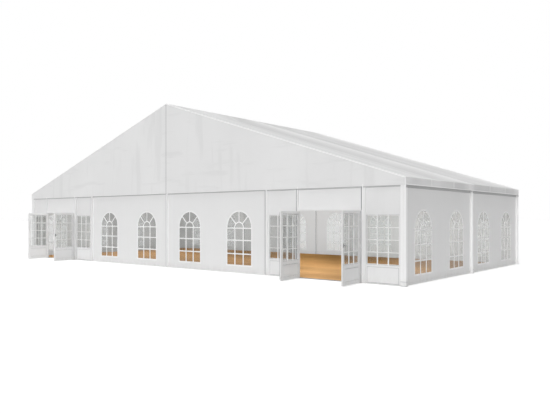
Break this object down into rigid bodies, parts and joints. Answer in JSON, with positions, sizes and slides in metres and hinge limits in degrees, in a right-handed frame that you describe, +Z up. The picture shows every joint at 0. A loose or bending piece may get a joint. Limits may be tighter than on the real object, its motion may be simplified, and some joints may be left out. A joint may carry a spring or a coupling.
{
  "type": "clear-span marquee tent",
  "caption": "White framed party tent with a low ridge roof, arched windows in its walls, a wooden floor and glazed double doors standing open in the gable.",
  "frame": {"origin": "on the ground, at the middle of the floor's underside", "axes": "+X across the gable to the right seen from the front, +Y along the ridge away from the doors, +Z up"},
  "size_m": [20.1866, 11.2615, 6.32],
  "materials": {
    "white_metal": "white powder coat, satin",
    "bare_metal": "mill finish",
    "white_fabric": "white coated fabric, half matt",
    "clear_film": "clear flexible sheet, glossy",
    "clear_pane": "clear, polished",
    "white_panel": "white, satin",
    "dark_handle": "dark grey, satin",
    "floor_wood": "varnished boards"
  },
  "bodies": {
    "tent": {"left_front_leg": "white_metal", "left_middle_leg": "white_metal", "left_rear_leg": "white_metal", "right_front_leg": "white_metal", "right_middle_leg": "white_metal", "right_rear_leg": "white_metal", "front_rafters": "bare_metal", "middle_rafters": "bare_metal", "rear_rafters": "bare_metal", "ridge_purlin": "bare_metal", "left_eave_purlin": "bare_metal", "right_eave_purlin": "bare_metal", "front_left_upright": "white_metal", "front_centre_upright": "white_metal", "front_right_upright": "white_metal", "rear_left_upright": "white_metal", "rear_centre_upright": "white_metal", "rear_right_upright": "white_metal", "front_gable_rail": "white_metal", "rear_gable_rail": "white_metal", "front_roof_cover": "white_fabric", "rear_roof_cover": "white_fabric", "front_gable_sheet": "white_fabric", "rear_gable_sheet": "white_fabric", "left_front_wall": "white_fabric", "left_rear_wall": "white_fabric", "right_front_wall": "white_fabric", "right_rear_wall": "white_fabric", "front_left_wall": "white_fabric", "front_right_wall": "white_fabric", "rear_outer_left_wall": "white_fabric", "rear_inner_left_wall": "white_fabric", "rear_inner_right_wall": "white_fabric", "rear_outer_right_wall": "white_fabric", "left_window_film": "clear_film", "right_window_film": "clear_film", "front_window_film": "clear_film", "rear_window_film": "clear_film", "left_door_left_panel": "white_panel", "left_door_right_panel": "white_panel", "right_door_left_panel": "white_panel", "right_door_right_panel": "white_panel", "left_door_left_pane": "clear_pane", "left_door_right_pane": "clear_pane", "right_door_left_pane": "clear_pane", "right_door_right_pane": "clear_pane", "left_door_transom": "white_panel", "right_door_transom": "white_panel", "floor": "floor_wood"},
    "left_door_left_leaf_body": {"left_door_left_leaf": "white_panel", "left_door_left_leaf_pane": "clear_pane"},
    "left_door_right_leaf_body": {"left_door_right_leaf": "white_panel", "left_door_right_leaf_pane": "clear_pane", "left_door_right_handle": "dark_handle"},
    "right_door_left_leaf_body": {"right_door_left_leaf": "white_panel", "right_door_left_leaf_pane": "clear_pane"},
    "right_door_right_leaf_body": {"right_door_right_leaf": "white_panel", "right_door_right_leaf_pane": "clear_pane", "right_door_right_handle": "dark_handle"}
  },
  "joints": [
    {"name": "left_door_left_hinge", "type": "hinge", "parent": "tent", "child": "left_door_left_leaf_body", "pos_m": [-8.645, -5.062, 0], "axis": [0, 0, -1], "range_deg": [-76, 39]},
    {"name": "left_door_right_hinge", "type": "hinge", "parent": "tent", "child": "left_door_right_leaf_body", "pos_m": [-6.355, -5.062, 0], "axis": [0, 0, 1], "range_deg": [-104, 11]},
    {"name": "right_door_left_hinge", "type": "hinge", "parent": "tent", "child": "right_door_left_leaf_body", "pos_m": [6.355, -5.062, 0], "axis": [0, 0, -1], "range_deg": [-83, 32]},
    {"name": "right_door_right_hinge", "type": "hinge", "parent": "tent", "child": "right_door_right_leaf_body", "pos_m": [8.645, -5.062, 0], "axis": [0, 0, 1], "range_deg": [-96, 19]}
  ]
}
